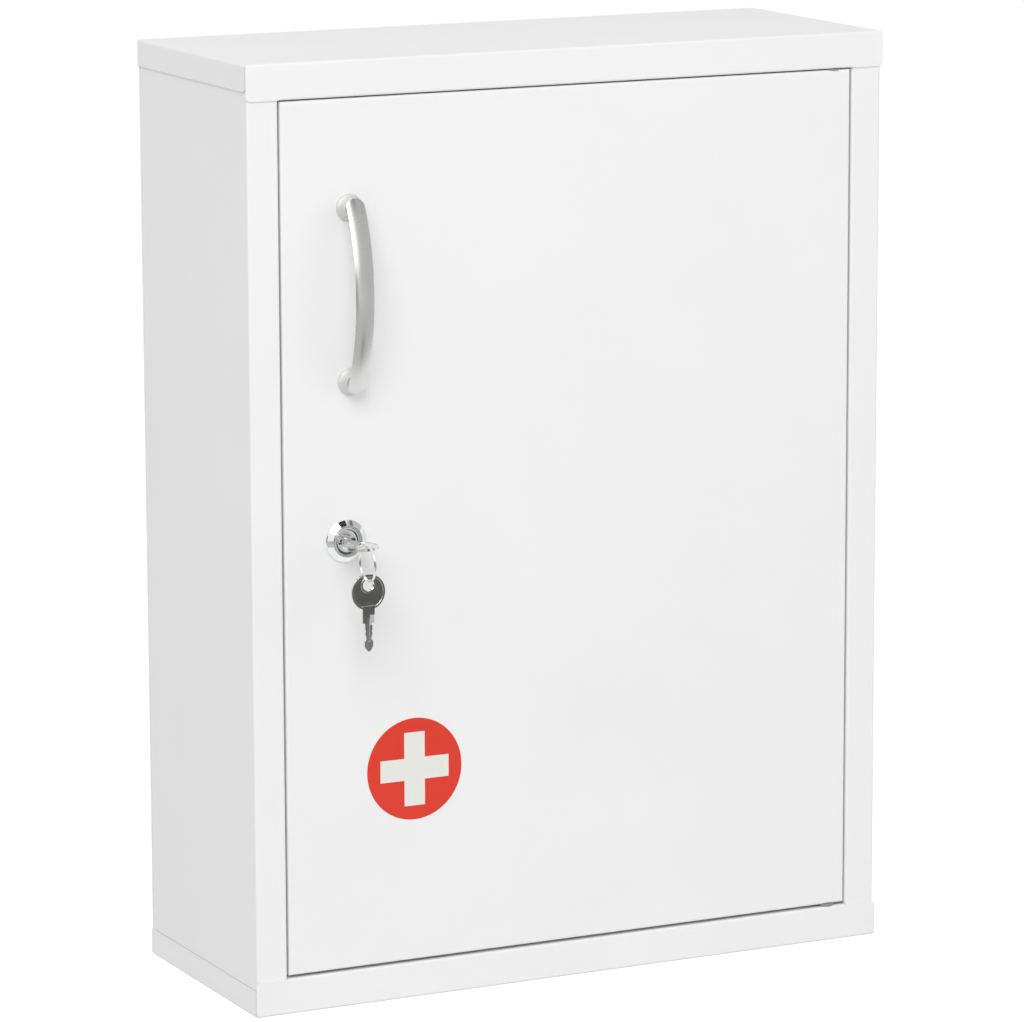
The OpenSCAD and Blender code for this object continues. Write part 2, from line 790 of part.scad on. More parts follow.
module cam_washer() {
    color("silver") at_lock() translate([0, 0, -barrel_l - cam_t - cam_washer_t]) difference() {
        cylinder(r = cam_washer_r, h = cam_washer_t);
        translate([0, 0, -over]) cylinder(r = cam_screw_r + edge_gap, h = cam_washer_t + 2 * over);
    }
}

module cam_screw() {
    under_head = -barrel_l - cam_t - cam_washer_t;
    color("silver") at_lock() translate([0, 0, under_head]) {
        screw_head(cam_screw_head_r, cam_screw_head_h);
        cylinder(r = cam_screw_r - screw_play, h = cam_washer_t + cam_screw_l - screw_end_gap);
    }
}

// ---- Keys ----

// The blade's edge from the shoulder to the tip, as [distance from the shoulder, half width]
function blade_edge() = let (half = blade_w / 2)
    concat(
        [[-over, blade_root * half]],
        [for (i = [0 : len(bitting) - 1])
            let (at = wafer_start + i * wafer_pitch, flat = wafer_t / 2)
            each [[at - flat, bitting[i] * half], [at + flat, bitting[i] * half]]],
        [for (p = blade_tip) [blade_l - p[0], p[1] * half]]);

// A double-bitted key in the lock's axes: flat in x and z, its blade pointing inwards
module key_body() {
    edge = blade_edge();
    outline = concat([for (p = edge) [p[1], shoulder_z - p[0]]],
        [for (p = reversed(edge)) [-p[1], shoulder_z - p[0]]]);
    mid = key_t / 2;
    difference() {
        union() {
            translate([0, mid, 0]) rotate([90, 0, 0]) linear_extrude(key_t) polygon(outline);
            translate([0, mid, bow_z]) rotate([90, 0, 0]) cylinder(r = bow_r, h = key_t);
            translate([-neck_w / 2, -mid, shoulder_z]) cube([neck_w, key_t, neck_top_z - shoulder_z]);
        }
        for (face = [-1, 1]) mirror([0, face < 0 ? 1 : 0, 0]) {
            // Recess inside the bow's rim, round the hole's boss and over the neck
            translate([0, mid + over, 0]) rotate([90, 0, 0])
                linear_extrude(over + bow_recess) difference() {
                    translate([0, bow_z]) circle(bow_r - bow_rim);
                    translate([0, bow_hole_z]) circle(bow_boss_r);
                    translate([-neck_w / 2, 0]) square([neck_w, neck_top_z]);
                }
            translate([-blade_groove_w / 2, mid - blade_groove_d, blade_tip_z + blade_groove_end])
                cube([blade_groove_w, over, blade_l - blade_groove_end + blade_groove_past]);
            translate([0, mid - bow_hole_chamfer, bow_hole_z]) rotate([-90, 0, 0])
                cylinder(r1 = bow_hole_r, r2 = bow_hole_r + bow_hole_chamfer + over,
                    h = bow_hole_chamfer + over);
        }
        // Ground step beside the neck's shoulder, sloping off to the neck's edge
        translate([neck_w / 2 - neck_step_w, mid, shoulder_z - over])
            linear_extrude(neck_step_h + over)
                polygon([[0, over], [0, -neck_step_d[0]], [neck_step_w, -neck_step_d[1]],
                    [neck_step_w + over, -neck_step_d[1]], [neck_step_w + over, over]]);
        translate([0, -key_t, bow_hole_z]) rotate([-90, 0, 0]) cylinder(r = bow_hole_r, h = 2 * key_t);
    }
}

module key() {
    color("silver") at_lock() key_body();
}

// The section of both coils, with its corners taken off
module ring_section(x, y, c) {
    translate([ring_r, 0]) polygon([[x, c - y], [x, y - c], [x - c, y], [c - x, y],
        [-x, y - c], [-x, c - y], [c - x, -y], [x - c, -y]]);
}

// Two coils side by side, each with its cut end
module key_ring() {
    color("silver") at_lock() translate([0, ring_y, ring_z]) rotate([0, 90, 0]) difference() {
        rotate_extrude($fn = 96) difference() {
            ring_section(ring_w / 2, ring_t / 2, ring_chamfer);
            for (side = [-1, 1]) translate([ring_r + side * ring_w / 2, 0]) rotate(45)
                square(ring_groove, center = true);
        }
        for (coil = [0, 1]) rotate([0, 0, ring_cuts[coil]])
            translate([ring_inner_r - over, -ring_slit / 2, (coil - 1) * over])
                cube([ring_w + 2 * over, ring_slit, over]);
    }
}

// The same key, hanging on the ring with its face to the front
module spare_key() {
    color("silver") at_lock() translate([0, spare_hole_y - bow_hole_z, ring_z]) rotate([-90, 0, 0])
        key_body();
}

left_side_panel();
right_side_panel();
back_panel();
top_cap();
bottom_cap();
upper_shelf();
lower_shelf();
upper_hinge_pin();
lower_hinge_pin();
door_buffers();
door_panel();
door_stiffener();
upper_hinge_bush();
lower_hinge_bush();
handle_bow();
handle_screws();
handle_washers();
lock_housing();
lock_washer();
lock_nut();
lock_plug();
lock_wafers();
lock_cam();
cam_washer();
cam_screw();
key();
key_ring();
spare_key();
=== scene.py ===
"""Looks of the lockable medicine cabinet: its finishes, its fine metalwork and the studio round it.

Lengths are metres in the frame's axes: X to the right, Y towards the wall, Z up. Sizes that a
maker would write in millimetres are fields named with _mm and go through mm() once.
"""

import logging
import math
from collections.abc import Callable, Sequence
from dataclasses import dataclass, field
from enum import Enum

import bmesh
import bpy
from mathutils import Euler, Matrix, Vector


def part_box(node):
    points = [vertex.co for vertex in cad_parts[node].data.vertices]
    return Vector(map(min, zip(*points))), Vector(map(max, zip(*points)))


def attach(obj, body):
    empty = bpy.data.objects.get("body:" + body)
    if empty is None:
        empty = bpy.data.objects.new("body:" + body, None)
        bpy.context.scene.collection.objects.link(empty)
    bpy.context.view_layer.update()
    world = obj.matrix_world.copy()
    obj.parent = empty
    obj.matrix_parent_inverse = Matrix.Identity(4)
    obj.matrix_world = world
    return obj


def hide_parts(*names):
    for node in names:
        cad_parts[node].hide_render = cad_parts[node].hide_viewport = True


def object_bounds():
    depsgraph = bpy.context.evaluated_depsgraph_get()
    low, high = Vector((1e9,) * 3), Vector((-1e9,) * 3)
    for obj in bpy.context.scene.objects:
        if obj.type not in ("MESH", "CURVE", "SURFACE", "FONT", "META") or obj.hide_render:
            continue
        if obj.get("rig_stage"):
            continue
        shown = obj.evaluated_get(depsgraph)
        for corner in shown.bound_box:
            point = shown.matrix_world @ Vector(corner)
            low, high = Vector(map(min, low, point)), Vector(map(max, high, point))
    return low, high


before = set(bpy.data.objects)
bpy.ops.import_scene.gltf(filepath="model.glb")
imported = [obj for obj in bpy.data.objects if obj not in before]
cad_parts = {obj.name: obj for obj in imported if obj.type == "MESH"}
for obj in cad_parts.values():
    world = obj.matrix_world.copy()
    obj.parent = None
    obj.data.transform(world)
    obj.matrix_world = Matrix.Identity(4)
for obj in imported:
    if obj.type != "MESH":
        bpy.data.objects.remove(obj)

LOG = logging.getLogger("medicine_cabinet")
IMAGE_SIZE = (1024, 1022)

# Points of a triangulated solid that are closer than this are one point
WELD_MM = 0.0005
# Triangles that meet at a smaller angle than this lie in one flat face, in degrees
FLAT_ANGLE = 0.5
# A face looks along an axis above the first share of its normal, and across it below the second
FACING, ACROSS = 0.9, 0.1
# A rounded edge is drawn by this many facets
EDGE_FACETS = 3
# How far a tool body runs past the work, and the height of a cutter
OVERRUN_MM, CUTTER_MM = 1.0, 4.0
WHITE = "#FFFFFF"

# Numbers of the sockets of a Mix node, for colours and for plain values
SHARE, COLOUR_A, COLOUR_B, VALUE_A, VALUE_B = 0, 6, 7, 2, 3
COLOUR_OUT, VALUE_OUT = 2, 0


def mm(length: float) -> float:
    """Millimetres as metres."""
    return length * 0.001


def cells_per_metre(size_mm: float) -> float:
    """The scale at which a pattern's features lie that many millimetres apart."""
    return 1000.0 / size_mm


def linear(hex_colour: str) -> tuple[float, float, float, float]:
    """The linear colour of an sRGB hex value, by the sRGB curve.

    Args:
        hex_colour: Six hex digits after a hash sign.

    Returns:
        Red, green, blue and an alpha of one.
    """
    channels = [int(hex_colour[i:i + 2], 16) / 255.0 for i in (1, 3, 5)]
    red, green, blue = (
        c / 12.92 if c <= 0.04045 else ((c + 0.055) / 1.055) ** 2.4 for c in channels)
    return red, green, blue, 1.0


# ---- The bench on which the new pieces are modelled ----


MeshPart = bmesh.types.BMFace | bmesh.types.BMEdge | bmesh.types.BMVert


class Part(Enum):
    """What is picked out of a mesh in edit mode."""

    FACES = "FACE"
    EDGES = "EDGE"
    POINTS = "VERT"


class Joining(Enum):
    """What becomes of two solids that are brought together."""

    MELTED = "UNION"
    CUT_AWAY = "DIFFERENCE"
    COMMON = "INTERSECT"


class Workpiece:
    """A mesh on the bench, shaped in edit mode and finished with modifiers that are applied."""

    def __init__(self, name: str) -> None:
        """Takes up the object that an operator has just added.

        Args:
            name: The name of the piece and of its mesh.
        """
        self.body: bpy.types.Object = bpy.context.object
        self.body.name = name
        self.body.data.name = name

    @staticmethod
    def clear_bench() -> None:
        """Leaves edit mode and deselects everything."""
        if bpy.context.object and bpy.context.object.mode != "OBJECT":
            bpy.ops.object.mode_set(mode="OBJECT")
        bpy.ops.object.select_all(action="DESELECT")

    @classmethod
    def round_bar(
        cls, name: str, radius: float, low: float, high: float, sides: int,
    ) -> "Workpiece":
        """A round bar along Z.

        Args:
            name: The piece's name.
            radius: Its radius.
            low: Height of its lower end.
            high: Height of its upper end.
            sides: Number of sides.

        Returns:
            The new workpiece.
        """
        cls.clear_bench()
        bpy.ops.mesh.primitive_cylinder_add(
            vertices=sides, radius=radius, depth=high - low, location=(0, 0, (low + high) / 2))
        bpy.ops.object.transform_apply()
        return cls(name)

    @classmethod
    def block(
        cls, name: str, size: Sequence[float], centre: Sequence[float] = (0, 0, 0),
    ) -> "Workpiece":
        """A rectangular block.

        Args:
            name: The piece's name.
            size: Its three sides.
            centre: The place of its middle.

        Returns:
            The new workpiece.
        """
        cls.clear_bench()
        bpy.ops.mesh.primitive_cube_add(size=1, location=centre)
        bpy.context.object.scale = size
        bpy.ops.object.transform_apply()
        return cls(name)

    @classmethod
    def copy_of(cls, node: str, name: str) -> "Workpiece":
        """A CAD node's shape as one closed mesh of flat faces, ready for its edges to be broken.

        Args:
            node: The CAD node.
            name: The new piece's name.

        Returns:
            The new workpiece.
        """
        cls.clear_bench()
        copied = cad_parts[node].copy()
        copied.data = copied.data.copy()
        copied.parent = None
        for key in [k for k in copied.keys() if k.startswith("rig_")]:
            del copied[key]
        bpy.context.scene.collection.objects.link(copied)
        bpy.context.view_layer.objects.active = copied
        copied.select_set(True)
        if copied.data.has_custom_normals:
            bpy.ops.mesh.customdata_custom_splitnormals_clear()
        bpy.ops.object.mode_set(mode="EDIT")
        bpy.ops.mesh.select_all(action="SELECT")
        bpy.ops.mesh.remove_doubles(threshold=mm(WELD_MM))
        bpy.ops.mesh.dissolve_limited(angle_limit=math.radians(FLAT_ANGLE))
        bpy.ops.object.mode_set(mode="OBJECT")
        return cls(name)

    def take_up(self) -> None:
        """Makes this the one selected, active piece."""
        self.clear_bench()
        self.body.select_set(True)
        bpy.context.view_layer.objects.active = self.body

    def pick(self, part: Part, rule: Callable[[MeshPart], bool]) -> "Workpiece":
        """Goes to edit mode and selects what meets the rule.

        Args:
            part: Whether faces, edges or points are picked.
            rule: Says of each of them whether it is selected.

        Returns:
            This workpiece.
        """
        self.take_up()
        bpy.ops.object.mode_set(mode="EDIT")
        bpy.ops.mesh.select_mode(type=part.value)
        edit = bmesh.from_edit_mesh(self.body.data)
        choices = {Part.FACES: edit.faces, Part.EDGES: edit.edges, Part.POINTS: edit.verts}
        for choice in choices[part]:
            choice.select_set(rule(choice))
        edit.select_flush_mode()
        bmesh.update_edit_mesh(self.body.data)
        return self

    def pick_top(self) -> "Workpiece":
        """Selects the faces that look up."""
        return self.pick(Part.FACES, lambda face: face.normal.z > FACING)

    def slide(self, by: Sequence[float]) -> "Workpiece":
        """Moves what is selected."""
        bpy.ops.transform.translate(value=by)
        return self

    def step(self, inwards: float, outwards: float) -> "Workpiece":
        """Insets the selected faces and moves them along their normal.

        Args:
            inwards: Width of the inset, or 0 for a plain extrusion.
            outwards: How far they move.

        Returns:
            This workpiece.
        """
        if inwards:
            bpy.ops.mesh.inset(thickness=inwards, depth=outwards, use_even_offset=True)
        else:
            bpy.ops.mesh.extrude_region_shrink_fatten(
                TRANSFORM_OT_shrink_fatten={"value": -outwards})
        return self

    def turn_to(self, profile: Sequence[tuple[float, float]]) -> "Workpiece":
        """Carries the piece's top face inwards through a turned profile.

        Args:
            profile: The radius and height of each corner in millimetres, from the top face's own.

        Returns:
            This workpiece.
        """
        self.pick_top()
        for (radius, height), (next_radius, next_height) in zip(profile, profile[1:]):
            self.step(mm(radius - next_radius), mm(next_height - height))
        return self

    def cut_off(self, place: Sequence[float], outwards: Sequence[float]) -> "Workpiece":
        """Cuts the piece by a plane, throws away what lies beyond it and closes the cut.

        Args:
            place: A point of the plane.
            outwards: The plane's normal, towards what is thrown away.

        Returns:
            This workpiece.
        """
        self.pick(Part.FACES, lambda face: True)
        bpy.ops.mesh.bisect(plane_co=place, plane_no=outwards, use_fill=True, clear_outer=True)
        return self

    def extrude_each(self, length: float) -> "Workpiece":
        """Draws every selected face out along its own normal."""
        bpy.ops.mesh.extrude_faces_move(TRANSFORM_OT_shrink_fatten={"value": length})
        return self

    def break_selected(self, width: float) -> "Workpiece":
        """Rounds the selected edges."""
        bpy.ops.mesh.bevel(offset=width, segments=EDGE_FACETS, affect="EDGES", clamp_overlap=True)
        return self

    def slice_along(self, axis: int, places: Sequence[float]) -> "Workpiece":
        """Cuts the whole mesh by planes across one axis, so that it can bend between them.

        Args:
            axis: Number of the axis.
            places: Where on it the planes lie.

        Returns:
            This workpiece.
        """
        self.take_up()
        bpy.ops.object.mode_set(mode="EDIT")
        normal = [0.0, 0.0, 0.0]
        normal[axis] = 1.0
        for place in places:
            bpy.ops.mesh.select_all(action="SELECT")
            bpy.ops.mesh.bisect(plane_co=[place * n for n in normal], plane_no=normal)
        return self

    def modify(self, kind: str, **settings: object) -> "Workpiece":
        """Adds a modifier with its settings and applies it.

        Args:
            kind: Blender's name for the modifier.
            settings: Its properties.

        Returns:
            This workpiece.
        """
        self.take_up()
        modifier = self.body.modifiers.new(kind.title(), kind)
        for key, value in settings.items():
            setattr(modifier, key, value)
        bpy.ops.object.modifier_apply(modifier=modifier.name)
        return self

    def soften(self, width_mm: float, angle: float = 30.0) -> "Workpiece":
        """Rounds every edge sharper than an angle.

        Args:
            width_mm: Width of the rounding.
            angle: Degrees between the two faces' normals.

        Returns:
            This workpiece.
        """
        return self.modify(
            "BEVEL", width=mm(width_mm), segments=EDGE_FACETS, limit_method="ANGLE",
            angle_limit=math.radians(angle), harden_normals=False, use_clamp_overlap=True)

    def join(self, other: "Workpiece", joining: Joining) -> "Workpiece":
        """Brings another workpiece together with this one and clears it off the bench.

        Args:
            other: The other workpiece.
            joining: What becomes of the two.

        Returns:
            This workpiece.
        """
        self.modify("BOOLEAN", object=other.body, operation=joining.value, solver="EXACT")
        bpy.data.objects.remove(other.body)
        return self

    def turn(self, angles: Sequence[float]) -> "Workpiece":
        """Turns the piece about the origin, and keeps the turn in its mesh.

        Args:
            angles: The turns about X, Y and Z in degrees.

        Returns:
            This workpiece.
        """
        self.take_up()
        self.body.data.transform(Euler([math.radians(a) for a in angles]).to_matrix().to_4x4())
        return self

    def place(self, at: Sequence[float]) -> "Workpiece":
        """Moves the piece, and keeps its place in its mesh.

        Args:
            at: How far it moves along each axis.

        Returns:
            This workpiece.
        """
        self.take_up()
        self.body.data.transform(Matrix.Translation(at))
        return self

    def swap_faces(self) -> "Workpiece":
        """Mirrors the piece front to back within its own depth.

        Returns:
            This workpiece.
        """
        self.take_up()
        depth = [vertex.co.y for vertex in self.body.data.vertices]
        self.body.data.transform(Matrix.Diagonal((1, -1, 1, 1)))
        return self.place((0, min(depth) + max(depth), 0)).close_up()

    def close_up(self) -> "Workpiece":
        """Merges doubles, fills open ends and turns the faces outwards.

        Returns:
            This workpiece.
        """
        self.take_up()
        bpy.ops.object.mode_set(mode="EDIT")
        bpy.ops.mesh.select_all(action="SELECT")
        bpy.ops.mesh.remove_doubles(threshold=mm(WELD_MM))
        bpy.ops.mesh.select_all(action="DESELECT")
        bpy.ops.mesh.select_mode(type="EDGE")
        bpy.ops.mesh.select_non_manifold(extend=False)
        bpy.ops.mesh.fill_holes(sides=0)
        bpy.ops.mesh.select_all(action="SELECT")
        bpy.ops.mesh.normals_make_consistent(inside=False)
        bpy.ops.object.mode_set(mode="OBJECT")
        return self

    def hand_over(
        self, body: str, finish: "Finish", smooth_below: float = 35.0,
    ) -> bpy.types.Object:
        """Shades the piece, gives it its finish and sets it on a body of the frame.

        Args:
            body: The body that the piece rides on.
            finish: The finish it gets.
            smooth_below: Edges flatter than this many degrees are shaded smooth.

        Returns:
            The finished object.
        """
        self.take_up()
        bpy.ops.object.shade_smooth_by_angle(angle=math.radians(smooth_below))
        self.modify("WEIGHTED_NORMAL", keep_sharp=True)
        finish.dress(self.body)
        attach(self.body, body)
        LOG.info("%s: %d faces on %s", self.body.name, len(self.body.data.polygons), body)
        return self.body


# ---- Finishes ----


def add_node(
    tree: bpy.types.NodeTree,
    kind: str,
    settings: dict[str, object] | None = None,
    inputs: dict[str | int, object] | None = None,
) -> bpy.types.Node:
    """Adds a shader node with its settings and links.

    Args:
        tree: The node tree that takes it.
        kind: The node's type without its ShaderNode prefix.
        settings: Properties of the node.
        inputs: A value, or another node's output socket, for each input by name or number.

    Returns:
        The new node.
    """
    node = tree.nodes.new("ShaderNode" + kind)
    for key, value in (settings or {}).items():
        setattr(node, key, value)
    for key, value in (inputs or {}).items():
        if isinstance(value, bpy.types.NodeSocket):
            tree.links.new(value, node.inputs[key])
        else:
            node.inputs[key].default_value = value
    return node


@dataclass(frozen=True)
class Ground:
    """What a finish lays its patterns on: a node tree, its shader and the place on the object."""

    tree: bpy.types.NodeTree
    shader: bpy.types.Node
    place: bpy.types.NodeSocket

    def link(self, pattern: bpy.types.NodeSocket, socket: str) -> None:
        """Links a pattern to one of the shader's sockets."""
        self.tree.links.new(pattern, self.shader.inputs[socket])


@dataclass(frozen=True)
class Finish:
    """A surface: what it is made of, its colour and how light leaves it."""

    name: str
    slot: str | None
    colour: str
    roughness: float
    metallic: float = 0.0
    sockets: dict[str, float] = field(default_factory=dict)

    def dress(self, piece: bpy.types.Object) -> None:
        """Gives the piece this finish alone."""
        piece.data.materials.clear()
        piece.data.materials.append(self.material())

    def material(self) -> bpy.types.Material:
        """The finish's material, made when it is first asked for.

        Returns:
            The material.
        """
        made = bpy.data.materials.get(self.name)
        if made:
            return made
        made = bpy.data.materials.new(self.name)
        made.use_nodes = True
        tree = made.node_tree
        tree.nodes.clear()
        place = add_node(tree, "TexCoord").outputs["Object"]
        shader = add_node(tree, "BsdfPrincipled", inputs={
            "Base Color": linear(self.colour), "Roughness": self.roughness,
            "Metallic": self.metallic})
        for socket, value in self.sockets.items():
            shader.inputs[socket].default_value = value
        self.weave(Ground(tree, shader, place))
        output = add_node(tree, "OutputMaterial")
        tree.links.new(shader.outputs["BSDF"], output.inputs["Surface"])
        return made

    def weave(self, ground: Ground) -> None:
        """Links the finish's patterns to its shader, where it has patterns of its own."""

    def vary_roughness(self, ground: Ground, pattern: bpy.types.NodeSocket, spread: float) -> None:
        """Lets a pattern move the roughness to both sides.

        Args:
            ground: What the pattern is laid on.
            pattern: A value between 0 and 1.
            spread: The most that it moves the roughness.
        """
        ranged = add_node(ground.tree, "MapRange", inputs={
            "Value": pattern, "To Min": self.roughness - spread, "To Max": self.roughness + spread})
        ground.link(ranged.outputs["Result"], "Roughness")


@dataclass(frozen=True)
class PowderCoat(Finish):
    """Baked polyester powder on steel: a hard even white, a faint orange peel and soft edges."""

    shade: str = "#EDEDED"
    mottle: float = 0.03
    # The painted seam shade: its colour and width, how open a seam is where the painted shade
    # begins and where it is full, how far from the middle the shaded seams lie, and how far in
    # front of the wall
    painted_seam_shade: str = "#9C9C9C"
    seam_shade_mm: float = 0.6
    seam_shade_open: float = 0.85
    seam_shade_closed: float = 0.45
    shaded_seams_past_mm: float = 195.5
    wall_mm: float = 4.0
    samples: int = 6
    peel_mm: float = 1.5
    peel_depth_mm: float = 0.006
    cloud_mm: float = 70.0
    edge_mm: float = 0.35

    def weave(self, ground: Ground) -> None:
        """Clouds the white slightly, paints shade into the side seams and lays the peel over
        rounded sheet edges.

        Args:
            ground: What the patterns are laid on.
        """
        cloud = add_node(ground.tree, "TexNoise", inputs={
            "Vector": ground.place, "Scale": cells_per_metre(self.cloud_mm), "Detail": 2.0})
        tint = add_node(ground.tree, "Mix", {"data_type": "RGBA"}, {
            SHARE: cloud.outputs["Fac"], COLOUR_A: linear(self.colour),
            COLOUR_B: linear(self.shade)})
        # Painted shade: the colour darkens in the seams between the sheets at the sides, where
        # ambient occlusion finds them closed
        open_sky = add_node(ground.tree, "AmbientOcclusion", {"samples": self.samples}, {
            "Distance": mm(self.seam_shade_mm)})
        closed = add_node(ground.tree, "MapRange", inputs={
            "Value": open_sky.outputs["AO"], "From Min": self.seam_shade_open,
            "From Max": self.seam_shade_closed})
        axes = add_node(ground.tree, "SeparateXYZ", inputs={"Vector": ground.place})
        aside = add_node(ground.tree, "Math", {"operation": "ABSOLUTE"}, {0: axes.outputs["X"]})
        at_side = add_node(ground.tree, "Math", {"operation": "GREATER_THAN"}, {
            0: aside.outputs[0], 1: mm(self.shaded_seams_past_mm)})
        off_wall = add_node(ground.tree, "Math", {"operation": "LESS_THAN"}, {
            0: axes.outputs["Y"], 1: -mm(self.wall_mm)})
        seam_shade = closed.outputs["Result"]
        for limit in (at_side, off_wall):
            kept = add_node(ground.tree, "Math", {"operation": "MULTIPLY"}, {
                0: seam_shade, 1: limit.outputs[0]})
            seam_shade = kept.outputs[0]
        tint = add_node(ground.tree, "Mix", {"data_type": "RGBA"}, {
            SHARE: seam_shade, COLOUR_A: tint.outputs[COLOUR_OUT], COLOUR_B: linear(self.painted_seam_shade)})
        ground.link(tint.outputs[COLOUR_OUT], "Base Color")
        self.vary_roughness(ground, cloud.outputs["Fac"], self.mottle)
        # The real peel is a little finer than a pixel; it is drawn as coarse as it needs to show
        peel = add_node(ground.tree, "TexNoise", inputs={
            "Vector": ground.place, "Scale": cells_per_metre(self.peel_mm), "Detail": 1.0,
            "Roughness": 0.4})
        edge = add_node(ground.tree, "Bevel", {"samples": self.samples}, {
            "Radius": mm(self.edge_mm)})
        bump = add_node(ground.tree, "Bump", inputs={
            "Strength": 1.0, "Distance": mm(self.peel_depth_mm), "Height": peel.outputs["Fac"],
            "Normal": edge.outputs["Normal"]})
        ground.link(bump.outputs["Normal"], "Normal")


@dataclass(frozen=True)
class PlatedMetal(Finish):
    """A plated or polished metal: mottled a little in its gloss, with hairline handling marks."""

    mottle_mm: float = 6.0
    mottle: float = 0.02
    grain_mm: float = 0.5
    grain_depth_mm: float = 0.001
    grain_stretch: tuple[float, float, float] = (1.0, 1.0, 1.0)

    def weave(self, ground: Ground) -> None:
        """Mottles the gloss and draws the grain of the brushing or polishing.

        Args:
            ground: What the patterns are laid on.
        """
        mottle = add_node(ground.tree, "TexNoise", inputs={
            "Vector": ground.place, "Scale": cells_per_metre(self.mottle_mm), "Detail": 3.0})
        self.vary_roughness(ground, mottle.outputs["Fac"], self.mottle)
        drawn = add_node(ground.tree, "Mapping", inputs={
            "Vector": ground.place, "Scale": self.grain_stretch})
        grain = add_node(ground.tree, "TexNoise", inputs={
            "Vector": drawn.outputs["Vector"], "Scale": cells_per_metre(self.grain_mm),
            "Detail": 2.0})
        bump = add_node(ground.tree, "Bump", inputs={
            "Strength": 1.0, "Distance": mm(self.grain_depth_mm), "Height": grain.outputs["Fac"]})
        ground.link(bump.outputs["Normal"], "Normal")


@dataclass(frozen=True)
class CastPlate(PlatedMetal):
    """A plated casting whose feet the polishing wheel does not reach: they stay matt and pale."""

    matt: str = "#DEDEDD"
    matt_roughness: float = 0.72
    # The matt part ends this far from the wall at the lock's height, and less far by the lean's
    # share of the height above it
    feet_end_mm: float = 162.3
    lean: float = 0.0167
    blend_mm: float = 2.0

    def weave(self, ground: Ground) -> None:
        """Turns the plate matt and pale towards the door.

        Args:
            ground: What the patterns are laid on.
        """
        super().weave(ground)
        depth = add_node(ground.tree, "VectorMath", {"operation": "DOT_PRODUCT"}, {
            0: ground.place, 1: (0, 1, -self.lean)})
        on_foot = add_node(ground.tree, "MapRange", inputs={
            "Value": depth.outputs["Value"], "From Min": -mm(self.feet_end_mm),
            "From Max": -mm(self.feet_end_mm - self.blend_mm)})
        gloss = ground.shader.inputs["Roughness"].links[0].from_socket
        rough = add_node(ground.tree, "Mix", inputs={
            SHARE: on_foot.outputs["Result"], VALUE_A: gloss, VALUE_B: self.matt_roughness})
        ground.link(rough.outputs[VALUE_OUT], "Roughness")
        tint = add_node(ground.tree, "Mix", {"data_type": "RGBA"}, {
            SHARE: on_foot.outputs["Result"], COLOUR_A: linear(self.colour),
            COLOUR_B: linear(self.matt)})
        ground.link(tint.outputs[COLOUR_OUT], "Base Color")


@dataclass(frozen=True)
class ZincPlate(PlatedMetal):
    """Bright zinc on pressed steel: a bluish spangle of small patches between two greys."""

    spangle: str = "#A9AEB4"
    spangle_mm: float = 3.0

    def weave(self, ground: Ground) -> None:
        """Lays the spangle over the plated metal's mottle and grain.

        Args:
            ground: What the patterns are laid on.
        """
        super().weave(ground)
        patches = add_node(ground.tree, "TexVoronoi", inputs={
            "Vector": ground.place, "Scale": cells_per_metre(self.spangle_mm)})
        grey = add_node(ground.tree, "SeparateColor", inputs={"Color": patches.outputs["Color"]})
        tint = add_node(ground.tree, "Mix", {"data_type": "RGBA"}, {
            SHARE: grey.outputs[0], COLOUR_A: linear(self.colour), COLOUR_B: linear(self.spangle)})
        ground.link(tint.outputs[COLOUR_OUT], "Base Color")


@dataclass(frozen=True)
class SoftMoulding(Finish):
    """A moulded polymer or printed film: a fine matt grain in one even colour."""

    shade: str = "#E8E8E4"
    mottle: float = 0.04
    cloud_mm: float = 12.0
    grain_mm: float = 0.4
    grain_depth_mm: float = 0.004

    def weave(self, ground: Ground) -> None:
        """Clouds the colour and adds the mould's fine grain.

        Args:
            ground: What the patterns are laid on.
        """
        cloud = add_node(ground.tree, "TexNoise", inputs={
            "Vector": ground.place, "Scale": cells_per_metre(self.cloud_mm), "Detail": 3.0})
        tint = add_node(ground.tree, "Mix", {"data_type": "RGBA"}, {
            SHARE: cloud.outputs["Fac"], COLOUR_A: linear(self.colour),
            COLOUR_B: linear(self.shade)})
        ground.link(tint.outputs[COLOUR_OUT], "Base Color")
        self.vary_roughness(ground, cloud.outputs["Fac"], self.mottle)
        grain = add_node(ground.tree, "TexNoise", inputs={
            "Vector": ground.place, "Scale": cells_per_metre(self.grain_mm), "Detail": 2.0})
        bump = add_node(ground.tree, "Bump", inputs={
            "Strength": 1.0, "Distance": mm(self.grain_depth_mm), "Height": grain.outputs["Fac"]})
        ground.link(bump.outputs["Normal"], "Normal")


# Baked white powder: a hard even white, softer at the sheets' edges, with painted shade in the side
# seams
WHITE_POWDER = PowderCoat("white_powder_coat", "powder_coated_steel", "#F1F1F1", 0.42)
# Matt electroplate on a zinc casting: broad soft highlights
SATIN_CHROME = CastPlate(
    "satin_chrome_plate", "satin_chrome", "#DEDEDD", 0.27, 1.0, mottle_mm=8.0, mottle=0.02,
    grain_mm=0.5, grain_depth_mm=0.0008, grain_stretch=(1.0, 1.0, 0.15))
# Mirror electroplate on a turned casting: sharp reflections
BRIGHT_CHROME = PlatedMetal(
    "bright_chrome_plate", "bright_chrome", "#ECEDEE", 0.07, 1.0, mottle=0.015,
    grain_depth_mm=0.0003)
# Nickel on a stamped brass blank: bright, slightly warm, with the stamping's faint waves
KEY_NICKEL = PlatedMetal(
    "nickel_on_stamped_brass", "nickel_plated_brass", "#E9E8E6", 0.13, 1.0, mottle=0.03,
    grain_mm=0.9, grain_depth_mm=0.0012)
# Nickel on hardened spring wire: bright and smooth
RING_NICKEL = PlatedMetal(
    "nickel_on_spring_steel", "nickel_plated_steel", "#E9E9E7", 0.1, 1.0, mottle=0.02,
    grain_mm=0.6, grain_depth_mm=0.0005)
